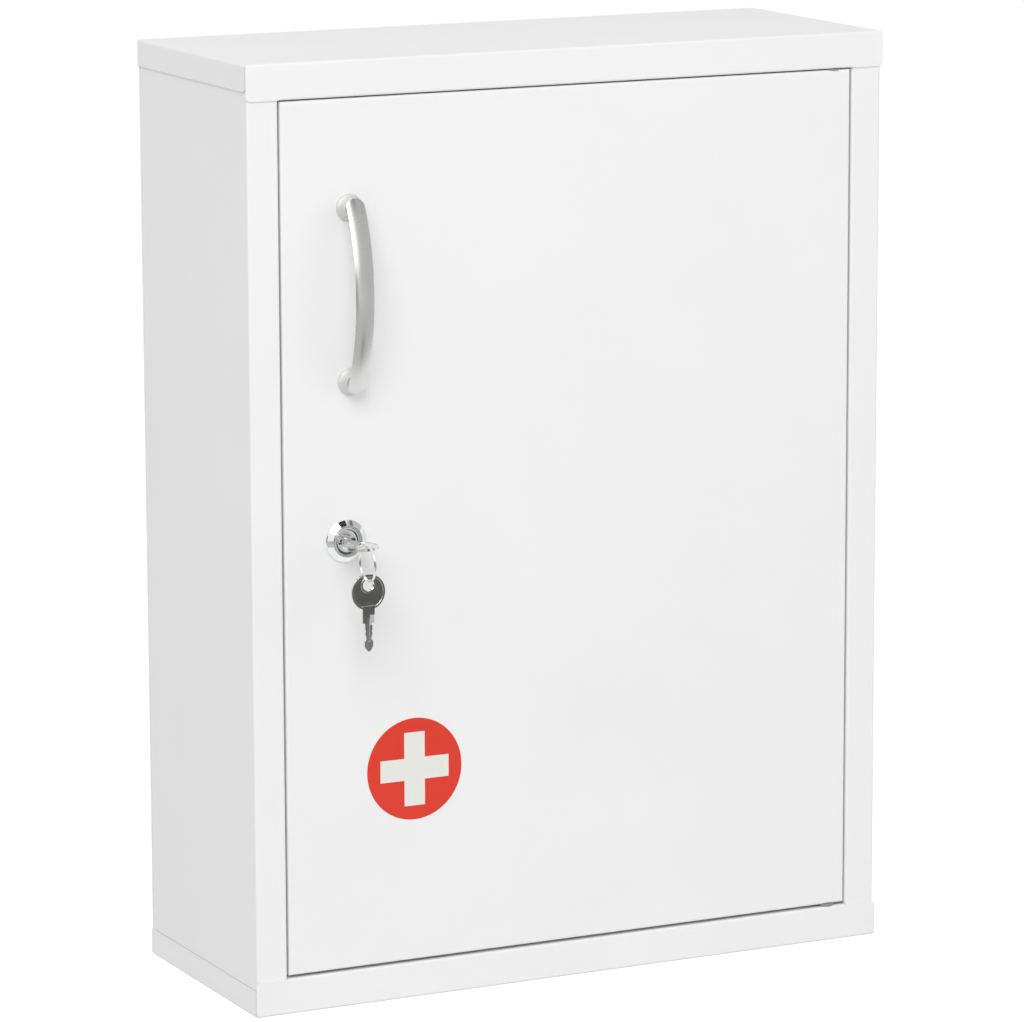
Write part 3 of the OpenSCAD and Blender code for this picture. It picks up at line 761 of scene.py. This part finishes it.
# Zinc on pressed steel: a bluish grey with a faint spangle
ZINC = ZincPlate(
    "zinc_plate", "zinc_plated_steel", "#C2C5C8", 0.3, 1.0, mottle=0.05, grain_depth_mm=0.001)
# Brass blanked from strip: yellow, half bright
WAFER_BRASS = PlatedMetal("stamped_brass", "brass", "#D8B46A", 0.25, 1.0, mottle=0.04)
# Nylon painted mid-grey and matt as painted shade: it stands for the shade in the gap over the
# hinge, so that it hides there
BUSH_NYLON_PAINTED_SHADE = SoftMoulding("nylon_painted_gap_shade", "nylon", "#929290", 0.5, shade="#8A8A88")
# Milky silicone: pale and a little glossy
BUFFER_RUBBER = SoftMoulding("clear_silicone", "silicone_rubber", "#E4E6E6", 0.35, shade="#DADDDD")
# Cast vinyl film: one strong even colour with a low gloss
SIGN_RED = SoftMoulding(
    "red_vinyl_film", None, "#DF3014", 0.38, shade="#DC2F15", grain_mm=0.6, grain_depth_mm=0.002)
SIGN_WHITE = SoftMoulding(
    "white_vinyl_film", None, "#E8E8E2", 0.42, shade="#E5E5DF", grain_mm=0.6, grain_depth_mm=0.002)

NODE_FINISHES: dict[str, Finish] = {
    "powder_coated_steel": WHITE_POWDER,
    "zinc_plated_steel": ZINC,
    "silicone_rubber": BUFFER_RUBBER,
    "nylon": BUSH_NYLON_PAINTED_SHADE,
    "satin_chrome": SATIN_CHROME,
    "bright_chrome": BRIGHT_CHROME,
    "brass": WAFER_BRASS,
    "nickel_plated_brass": KEY_NICKEL,
    "nickel_plated_steel": RING_NICKEL,
}


def dress_nodes() -> None:
    """Gives every CAD node the finish of its material slot."""
    for name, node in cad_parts.items():
        slot = node.data.materials[0].name.split(".")[0]
        finish = NODE_FINISHES[slot]
        for index in range(len(node.data.materials)):
            node.data.materials[index] = finish.material()
        LOG.info("%s: %s", name, finish.name)


# ---- Sub-assemblies ----


@dataclass
class FirstAidSign:
    """A round red vinyl sign with a white cross, stuck low on the door."""

    radius_mm: float = 29.0
    film_mm: float = 0.15
    print_mm: float = 0.06
    cross_mm: float = 42.0
    arm_mm: float = 12.6
    film_edge_mm: float = 0.05
    print_edge_mm: float = 0.015
    centre_x_mm: float = -99.2
    centre_z_mm: float = -133.3
    sides: int = 160

    def build(self) -> list[bpy.types.Object]:
        """Models the disc and the cross on the door's face.

        Returns:
            The two pieces.
        """
        face_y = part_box("door_panel")[0].y
        at = (mm(self.centre_x_mm), face_y, mm(self.centre_z_mm))
        disc = Workpiece.round_bar(
            "sign_disc", mm(self.radius_mm), 0.0, mm(self.film_mm), self.sides)
        disc.pick_top().step(mm(self.film_mm), 0.0)
        disc.soften(self.film_edge_mm).turn((90, 0, 0)).place(at)
        cross = Workpiece.block(
            "sign_cross", (mm(self.arm_mm), mm(self.arm_mm), mm(self.print_mm)),
            (0, 0, mm(self.film_mm + self.print_mm / 2)))
        cross.pick(Part.FACES, lambda face: abs(face.normal.z) < ACROSS)
        cross.extrude_each(mm((self.cross_mm - self.arm_mm) / 2))
        cross.close_up().soften(self.print_edge_mm).turn((90, 0, 0)).place(at)
        return [disc.hand_over("door", SIGN_RED), cross.hand_over("door", SIGN_WHITE)]


@dataclass
class BowHandle:
    """A bowed cast handle: a crowned bar bent to an arc, on two flared feet."""

    pitch_mm: float = 96.0
    width_mm: float = 12.0
    thickness_mm: float = 3.5
    crown_radius_mm: float = 15.6
    rim_mm: float = 0.8
    end_height_mm: float = 8.5
    middle_height_mm: float = 22.0
    foot_radius_mm: float = 7.5
    foot_rim_mm: float = 1.4
    foot_edge_mm: float = 0.3
    neck_radius_mm: float = 5.2
    neck_steps: int = 10
    bend_slices: int = 72
    bar_sides: int = 240
    end_sides: int = 64
    foot_sides: int = 72
    rim_angle: float = 40.0
    foot_edge_angle: float = 60.0

    @property
    def half_length_mm(self) -> float:
        """Half the bar's length along the door."""
        return (self.pitch_mm + self.width_mm) / 2

    @property
    def arc_radius_mm(self) -> float:
        """Radius of the bar's crown as seen from the side."""
        bow = self.middle_height_mm - self.end_height_mm
        return (self.half_length_mm ** 2 + bow ** 2) / (2 * bow)

    def bar(self) -> Workpiece:
        """The crowned bar, its length along X, its crown towards -Y and its back on Y = 0.

        Returns:
            The bent bar.
        """
        swing = math.asin(self.half_length_mm / self.arc_radius_mm)
        half_back = swing * (self.arc_radius_mm - self.thickness_mm)
        outline = Workpiece.round_bar(
            "outline", mm(self.width_mm / 2), -mm(self.thickness_mm), mm(OVERRUN_MM),
            self.end_sides)
        stretch = mm(half_back - self.width_mm / 2)
        outline.pick(Part.POINTS, lambda point: point.co.x > 0).slide((stretch, 0, 0))
        outline.pick(Part.POINTS, lambda point: point.co.x < 0).slide((-stretch, 0, 0))
        outline.turn((-90, 0, 0)).place((0, -mm(self.thickness_mm), 0))
        bar = Workpiece.round_bar(
            "pull_handle", mm(self.crown_radius_mm), -mm(half_back + OVERRUN_MM),
            mm(half_back + OVERRUN_MM), self.bar_sides)
        bar.turn((0, 90, 0)).place((0, mm(self.crown_radius_mm - self.thickness_mm), 0))
        bar.cut_off((0, 0, 0), (0, 1, 0))
        bar.join(outline, Joining.COMMON).soften(self.rim_mm, self.rim_angle)
        spacing = 2 * mm(half_back) / self.bend_slices
        places = [spacing * (i - self.bend_slices / 2) for i in range(1, self.bend_slices)]
        bar.slice_along(0, places)
        return bar.modify("SIMPLE_DEFORM", deform_method="BEND", deform_axis="Z", angle=2 * swing)

    def foot(self, end: int) -> Workpiece:
        """A turned foot that flares to the door, its base on the door's face.

        Args:
            end: -1 or 1, for the end of the bar that it carries.

        Returns:
            The foot.
        """
        rise = self.end_height_mm - self.thickness_mm / 2 - self.foot_rim_mm
        flare = self.foot_radius_mm - self.neck_radius_mm
        profile = [(self.foot_radius_mm, self.foot_rim_mm)]
        for step in range(1, self.neck_steps + 1):
            angle = math.pi / 2 * step / self.neck_steps
            profile.append((
                self.foot_radius_mm - flare * math.sin(angle),
                self.foot_rim_mm + rise * (1 - math.cos(angle))))
        foot = Workpiece.round_bar(
            "foot", mm(self.foot_radius_mm), 0.0, mm(self.foot_rim_mm), self.foot_sides)
        foot.turn_to(profile)
        sharp = math.radians(self.foot_edge_angle)
        foot.pick(Part.EDGES, lambda edge: edge.is_manifold and edge.calc_face_angle() > sharp)
        foot.break_selected(mm(self.foot_edge_mm))
        return foot.turn((90, 0, 0)).place((mm(end * self.pitch_mm / 2), 0, 0))

    def build(self) -> list[bpy.types.Object]:
        """Models the handle in place of its plain solid.

        Returns:
            The one piece.
        """
        low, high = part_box("handle_bow")
        handle = self.bar().place((0, -mm(self.middle_height_mm - self.thickness_mm), 0))
        for end in (-1, 1):
            handle.join(self.foot(end), Joining.MELTED)
        handle.turn((0, -90, 0)).place(((low.x + high.x) / 2, high.y, (low.z + high.z) / 2))
        piece = handle.hand_over("door", SATIN_CHROME, self.rim_angle)
        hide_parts("handle_bow")
        return [piece]


@dataclass
class SplitRing:
    """A split ring of two flat coils of spring wire side by side, threaded through both keys."""

    wire_mm: tuple[float, float] = (1.2, 0.64)
    corner_mm: float = 0.31
    corner_profile: float = 0.3
    slit_mm: float = 0.4
    steps: int = 120
    cut_at: tuple[float, float] = (70.0, 130.0)

    def coil(self, name: str, radius: float, start: float) -> Workpiece:
        """One coil round the Z axis with rounded wire and a narrow slit.

        Args:
            name: The piece's name.
            radius: Radius of the wire's middle.
            start: The slit's place, in degrees round the ring.

        Returns:
            The coil.
        """
        width, thickness = (mm(size) for size in self.wire_mm)
        sweep = math.tau - mm(self.slit_mm) / radius
        wire = Workpiece.block(name, (width, thickness, thickness), (radius, 0, 0))
        wire.cut_off((0, 0, 0), (0, 1, 0))
        wire.pick(Part.FACES, lambda face: face.normal.y < FACING)
        bpy.ops.mesh.delete(type="FACE")
        wire.pick(Part.POINTS, lambda point: True)
        bpy.ops.mesh.bevel(
            offset=mm(self.corner_mm), segments=EDGE_FACETS, profile=self.corner_profile,
            affect="VERTICES")
        bpy.ops.mesh.select_all(action="SELECT")
        bpy.ops.mesh.spin(steps=self.steps, angle=sweep, center=(0, 0, 0), axis=(0, 0, 1))
        return wire.close_up().turn((0, 0, start))

    def build(self) -> list[bpy.types.Object]:
        """Winds the ring in place of its plain solid.

        Returns:
            The two coils.
        """
        low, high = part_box("key_ring")
        radius = (high.z - low.z - mm(self.wire_mm[0])) / 2
        apart = (high.x - low.x) / 4
        pieces = []
        for name, side, start in zip(("front_coil", "rear_coil"), (-1, 1), self.cut_at):
            coil = self.coil(name, radius, start).turn((0, 90, 0))
            coil.place(Vector((side * apart, 0, 0)) + (low + high) / 2)
            pieces.append(coil.hand_over("ring", RING_NICKEL))
            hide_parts("key_ring")
        return pieces


@dataclass
class CamLock:
    """The lock's turned and stamped metal, its edges broken as tumbling and plating leave them."""

    sides: int = 144
    bezel_mm: tuple[tuple[float, float], ...] = (
        (12.0, 0.8), (11.6, 1.2), (8.8, 3.2), (8.4, 3.2), (8.35, 2.3), (8.0, 2.3), (7.95, 2.9),
        (7.3, 2.9))
    bezel_edge_mm: float = 0.08
    bore_mm: float = 7.65
    head_mm: tuple[tuple[float, float], ...] = ((7.6, 2.0), (7.45, 2.2), (5.9, 2.2))
    head_back_mm: float = 1.2
    dish_steps: int = 8
    dish_radius_mm: float = 5.9
    dish_depth_mm: float = 0.7
    keyway_mm: tuple[float, float] = (5.5, 2.1)
    mouth_mm: tuple[float, float, float] = (10.4, 3.2, 0.5)
    key_edge_mm: float = 0.14
    cam_edge_mm: float = 0.2
    turned_angle: float = 25.0

    def axis_place(self) -> tuple[float, float, float]:
        """The lock's axis on the door's face."""
        low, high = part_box("lock_nut")
        return (low.x + high.x) / 2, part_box("door_panel")[0].y, (low.z + high.z) / 2

    def barrel(self) -> Workpiece:
        """The threaded barrel behind the door's face."""
        barrel = Workpiece.copy_of("lock_housing", "lock_barrel")
        return barrel.cut_off(self.axis_place(), (0, -1, 0)).soften(self.bezel_edge_mm)

    def bezel(self) -> Workpiece:
        """The dished ring in front of the door.

        Returns:
            The bezel.
        """
        radius, rim = self.bezel_mm[0]
        bezel = Workpiece.round_bar("lock_bezel", mm(radius), 0.0, mm(rim), self.sides)
        bezel.turn_to(self.bezel_mm)
        bore = Workpiece.round_bar(
            "bore", mm(self.bore_mm), -mm(OVERRUN_MM), mm(CUTTER_MM), self.sides)
        bezel.join(bore, Joining.CUT_AWAY)
        return bezel.soften(self.bezel_edge_mm).turn((90, 0, 0)).place(self.axis_place())

    def plug_rear(self) -> Workpiece:
        """The plug's body with its wafer slots and square tail.

        Returns:
            The body.
        """
        x, y, z = self.axis_place()
        rear = Workpiece.copy_of("lock_plug", "plug_body")
        rear.cut_off((x, y - mm(self.head_back_mm), z), (0, -1, 0))
        return rear.soften(self.bezel_edge_mm)

    def plug_head(self) -> Workpiece:
        """The plug's dished face with the keyway and its wider mouth.

        Returns:
            The face.
        """
        radius, height = self.head_mm[0]
        head = Workpiece.round_bar(
            "plug_face", mm(radius), mm(self.head_back_mm), mm(height), self.sides)
        top = self.head_mm[-1][1]
        dish = [
            (self.dish_radius_mm * (1 - step / self.dish_steps),
             top - self.dish_depth_mm * (1 - (1 - step / self.dish_steps) ** 2))
            for step in range(1, self.dish_steps)]
        head.turn_to([*self.head_mm, *dish])
        width, height, depth = (mm(size) for size in self.mouth_mm)
        mouth_place = (0, 0, mm(top) - depth + mm(CUTTER_MM / 2))
        mouth = Workpiece.block("mouth", (width, height, mm(CUTTER_MM)), mouth_place)
        head.join(mouth, Joining.CUT_AWAY)
        width, height = (mm(size) for size in self.keyway_mm)
        slot = Workpiece.block("slot", (width, height, mm(2 * CUTTER_MM)))
        head.join(slot, Joining.CUT_AWAY)
        return head.soften(self.bezel_edge_mm).turn((90, 0, 0)).place(self.axis_place())

    def build(self) -> list[bpy.types.Object]:
        """Models the housing, plug, cam and keys in place of their plain solids.

        Returns:
            The pieces.
        """
        housing = [
            self.bezel().hand_over("door", BRIGHT_CHROME, self.turned_angle),
            self.barrel().hand_over("door", ZINC)]
        plug = [
            self.plug_head().hand_over("plug", BRIGHT_CHROME, self.turned_angle),
            self.plug_rear().hand_over("plug", ZINC)]
        cam = Workpiece.copy_of("lock_cam", "locking_cam").soften(self.cam_edge_mm)
        cam = cam.hand_over("plug", ZINC)
        key = Workpiece.copy_of("key", "key_in_the_plug").soften(self.key_edge_mm)
        key = key.hand_over("key_in_lock", KEY_NICKEL)
        spare = Workpiece.copy_of("spare_key", "hanging_key").swap_faces()
        spare = spare.soften(self.key_edge_mm).hand_over("hanging_key", KEY_NICKEL)
        for node, pieces in {
            "lock_housing": housing, "lock_plug": plug, "lock_cam": [cam], "key": [key],
            "spare_key": [spare],
        }.items():
            for piece in pieces:
                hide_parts(node)
        return [*housing, *plug, cam, key, spare]


# ---- Studio ----


def seen_directly(tree: bpy.types.NodeTree) -> bpy.types.NodeSocket:
    """One where the camera looks, by itself or by way of metal or glass, and zero for other light.

    Args:
        tree: The node tree that needs it.

    Returns:
        The socket that gives it.
    """
    path = add_node(tree, "LightPath").outputs
    seen = path["Is Camera Ray"]
    for ray in ("Is Glossy Ray", "Is Transmission Ray"):
        seen = add_node(tree, "Math", {"operation": "MAXIMUM"}, {0: seen, 1: path[ray]}).outputs[0]
    return seen


@dataclass(frozen=True)
class SoftBox:
    """A square studio lamp that points at a target."""

    name: str
    direction: tuple[float, float, float]
    distance: float
    size: float
    power: float
    seen_by_metal: bool = True

    def place(self, target: Vector) -> None:
        """Sets the lamp up on its side of the target.

        Args:
            target: What the lamp points at.
        """
        data = bpy.data.lights.new(self.name, "AREA")
        data.shape = "SQUARE"
        data.size = self.size
        data.energy = self.power
        lamp = bpy.data.objects.new(self.name, data)
        way = Vector(self.direction).normalized()
        lamp.location = target + way * self.distance
        lamp.rotation_euler = (-way).to_track_quat("-Z", "Y").to_euler()
        lamp.visible_glossy = self.seen_by_metal
        bpy.context.scene.collection.objects.link(lamp)


@dataclass(frozen=True)
class Card:
    """A card on a stand, which only polished metal sees."""

    name: str
    direction: tuple[float, float, float]
    distance: float
    size: tuple[float, float]
    strength: float
    flat: bool = False

    def place(self, target: Vector) -> None:
        """Sets the card up facing the target, or lays it flat.

        Args:
            target: Where its distance is counted from.
        """
        way = Vector(self.direction).normalized()
        facing = Vector((0, 0, 1)) if self.flat else way
        Workpiece.clear_bench()
        bpy.ops.mesh.primitive_plane_add(size=1)
        card = Workpiece(self.name).body
        card.data.transform(Matrix.Diagonal((self.size[0], self.size[1], 1, 1)))
        card.data.transform(facing.to_track_quat("Z", "Y").to_matrix().to_4x4())
        card.data.transform(Matrix.Translation(target + way * self.distance))
        card.data.materials.append(self.paper())
        card.visible_camera = False
        card.visible_diffuse = False
        card.visible_shadow = False
        card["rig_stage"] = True

    def paper(self) -> bpy.types.Material:
        """An even paper of the card's strength.

        Returns:
            The material.
        """
        paper = bpy.data.materials.new(self.name)
        paper.use_nodes = True
        paper.node_tree.nodes.clear()
        glow = add_node(paper.node_tree, "Emission", inputs={
            "Color": linear(WHITE), "Strength": self.strength})
        add_node(paper.node_tree, "OutputMaterial", inputs={"Surface": glow.outputs[0]})
        return paper


@dataclass
class Studio:
    """A pale floor, soft lamps, the cards that the metal mirrors, and the camera."""

    camera_place: tuple[float, float, float] = (-1.3436, -2.8079, 0.5745)
    yaw: float = 26.17
    pitch: float = 10.84
    roll: float = -0.184
    focal_pixels: float = 5403.0
    sensor_mm: float = 36.0
    sky: float = 0.57
    floor_radius: float = 12.0
    floor_sides: int = 64
    floor_white: str = "#E6E6E6"
    floor_glow: float = 0.54
    lamps: tuple[SoftBox, ...] = (
        SoftBox("key_softbox", (-0.42, -0.63, 0.65), 4.0, 2.6, 84.0),
        SoftBox("fill_softbox", (0.75, -0.62, 0.25), 4.0, 2.2, 13.5, seen_by_metal=False),
    )
    cards: tuple[Card, ...] = (
        Card("grey_front", (0.643, -0.766, 0.43), 2.9, (5.6, 3.3), 0.58),
        Card("grey_table", (0.34, -0.90, -0.168), 1.5, (3.6, 2.1), 0.58, flat=True),
        Card("bright_strip", (-0.24, -0.91, 0.40), 1.6, (0.8, 0.62), 1.7),
        Card("black_low", (0.3613, -0.9053, -0.2236), 0.3377, (0.058, 0.061), 0.07),
        Card("grey_low", (0.3438, -0.8614, -0.3748), 0.3549, (0.05, 0.05), 0.2),
        Card("black_left", (-1.0, -0.02, -0.13), 1.2, (1.9, 0.96), 0.08),
        Card("grey_side", (-0.707, -0.682, -0.19), 1.2, (0.1, 0.24), 0.45),
        Card("black_high", (0.13, -0.58, 0.80), 1.2, (0.56, 0.3), 0.05),
        Card("dark_left", (-0.39, -0.92, 0.047), 1.5, (0.8, 0.55), 0.15),
        Card("black_upper", (0.615, -0.377, 0.687), 1.2, (0.2, 0.2), 0.2),
    )

    def add_world(self) -> None:
        """Lights the room evenly, and shows white to the camera, to metal and to glass."""
        world = bpy.data.worlds.new("pale_room")
        bpy.context.scene.world = world
        world.use_nodes = True
        tree = world.node_tree
        tree.nodes.clear()
        light = add_node(tree, "Background", inputs={"Color": linear(WHITE), "Strength": self.sky})
        shown = add_node(tree, "Background", inputs={"Color": linear(WHITE), "Strength": 1.0})
        mixed = add_node(tree, "MixShader", inputs={
            0: seen_directly(tree), 1: light.outputs[0], 2: shown.outputs[0]})
        add_node(tree, "OutputWorld", inputs={"Surface": mixed.outputs[0]})

    def add_floor(self, height: float) -> None:
        """Lays the pale floor on which the cabinet stands.

        Args:
            height: The floor's height.
        """
        Workpiece.clear_bench()
        bpy.ops.mesh.primitive_circle_add(
            vertices=self.floor_sides, radius=self.floor_radius, fill_type="NGON")
        floor = Workpiece("pale_floor").place((0, 0, height)).body
        paper = bpy.data.materials.new("white_paper")
        paper.use_nodes = True
        tree = paper.node_tree
        tree.nodes.clear()
        matt = add_node(tree, "BsdfDiffuse", inputs={"Color": linear(self.floor_white)})
        glow = add_node(tree, "Emission", inputs={
            "Color": linear(WHITE), "Strength": self.floor_glow})
        lifted = add_node(tree, "AddShader", inputs={0: matt.outputs[0], 1: glow.outputs[0]})
        white = add_node(tree, "Emission", inputs={"Color": linear(WHITE), "Strength": 1.0})
        path = add_node(tree, "LightPath").outputs
        shown = add_node(tree, "MixShader", inputs={
            0: path["Is Camera Ray"], 1: white.outputs[0], 2: lifted.outputs[0]})
        mixed = add_node(tree, "MixShader", inputs={
            0: seen_directly(tree), 1: matt.outputs[0], 2: shown.outputs[0]})
        add_node(tree, "OutputMaterial", inputs={"Surface": mixed.outputs[0]})
        floor.data.materials.append(paper)
        floor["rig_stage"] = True

    def add_camera(self) -> None:
        """Sets the camera up at the left of the cabinet and above it, with a long lens."""
        data = bpy.data.cameras.new("camera")
        data.sensor_width = self.sensor_mm
        data.lens = self.focal_pixels * self.sensor_mm / max(IMAGE_SIZE)
        camera = bpy.data.objects.new("camera", data)
        yaw, pitch = math.radians(self.yaw), math.radians(self.pitch)
        level = math.cos(pitch)
        ahead = Vector((math.sin(yaw) * level, math.cos(yaw) * level, -math.sin(pitch)))
        roll = Matrix.Rotation(math.radians(self.roll), 3, "Z")
        turn = ahead.to_track_quat("-Z", "Y").to_matrix() @ roll
        camera.matrix_world = Matrix.Translation(self.camera_place) @ turn.to_4x4()
        bpy.context.scene.collection.objects.link(camera)
        bpy.context.scene.camera = camera

    def build(self) -> None:
        """Sets the whole studio up round the cabinet."""
        low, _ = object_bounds()
        lock = sum(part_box("lock_plug"), Vector()) / 2
        self.add_camera()
        self.add_world()
        self.add_floor(low.z)
        for lamp in self.lamps:
            lamp.place(Vector((0, lock.y, 0)))
        for card in self.cards:
            card.place(lock)
        bpy.context.scene.view_settings.view_transform = "Standard"


def main() -> None:
    """Dresses the frame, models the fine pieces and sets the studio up."""
    logging.basicConfig(level=logging.INFO, format="%(message)s")
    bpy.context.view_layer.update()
    dress_nodes()
    for assembly in (FirstAidSign(), BowHandle(), SplitRing(), CamLock()):
        pieces = assembly.build()
        LOG.info("%s: %d pieces", type(assembly).__name__, len(pieces))
    Studio().build()


if __name__ == "__main__":
    main()
